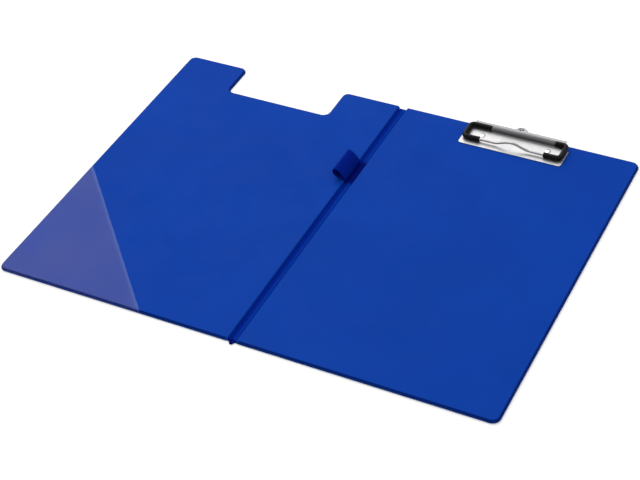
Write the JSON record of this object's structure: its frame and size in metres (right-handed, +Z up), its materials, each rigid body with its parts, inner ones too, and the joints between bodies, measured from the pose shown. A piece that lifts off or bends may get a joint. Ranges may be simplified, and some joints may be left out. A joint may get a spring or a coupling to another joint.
{
  "type": "foldover clipboard",
  "caption": "Foldover clipboard in blue PVC over board: notched cover, folding spine, corner pocket, pen loop and sprung wire clip.",
  "frame": {"origin": "on the spine's centre line, half way up the panels, at the underside that lies on the table", "axes": "+X from the cover across the spine to the back board, +Y up the page towards the clip, +Z up from the table out of the writing face"},
  "size_m": [0.466, 0.3461, 0.0136],
  "materials": {
    "blue_pvc": "satin, very fine leather-like emboss",
    "loop_pvc": "satin",
    "greyboard": "plain",
    "clear_film": "glossy clear PVC film",
    "chrome_plate": "bright plated",
    "black_sleeve": "satin black PVC tube"
  },
  "bodies": {
    "back": {"outer_sheet_back": "blue_pvc", "back_board": "greyboard", "face_sheet_back": "blue_pvc", "clip_base_plate": "chrome_plate", "clip_hinge_tube": "chrome_plate", "rivet_left": "chrome_plate", "rivet_right": "chrome_plate", "rivet_washer_left": "chrome_plate", "rivet_washer_right": "chrome_plate"},
    "spine": {"outer_sheet_spine": "blue_pvc", "face_sheet_spine": "blue_pvc"},
    "cover": {"outer_sheet_cover": "blue_pvc", "cover_board": "greyboard", "face_sheet_cover": "blue_pvc", "corner_pocket": "clear_film"},
    "loop": {"pen_loop": "loop_pvc"},
    "bail": {"wire_bail": "chrome_plate", "grip_sleeve_left": "black_sleeve", "grip_sleeve_right": "black_sleeve"}
  },
  "joints": [
    {"name": "back_fold", "type": "hinge", "parent": "spine", "child": "back", "pos_m": [0.0034, 0, 0.0005], "axis": [0, -1, 0], "range_deg": [-90, 90]},
    {"name": "cover_fold", "type": "hinge", "parent": "spine", "child": "cover", "pos_m": [-0.0034, 0, 0.0005], "axis": [0, 1, 0], "range_deg": [-90, 90], "deforming": ["pen_loop"]},
    {"name": "pen_loop_lean", "type": "hinge", "parent": "cover", "child": "loop", "pos_m": [-0.0034, 0.06375, 0.0034], "axis": [0, 1, 0], "range_deg": [-45, 45]},
    {"name": "bail_lift", "type": "hinge", "parent": "back", "child": "bail", "pos_m": [0.11865, 0.1648, 0.006], "axis": [-1, 0, 0], "range_deg": [0, 95], "stiffness_Nm_per_rad": 0.12, "springref_deg": -68.75}
  ],
  "couplings": [
    {"joint": "pen_loop_lean", "follows": "cover_fold", "ratio": -0.4667}
  ]
}
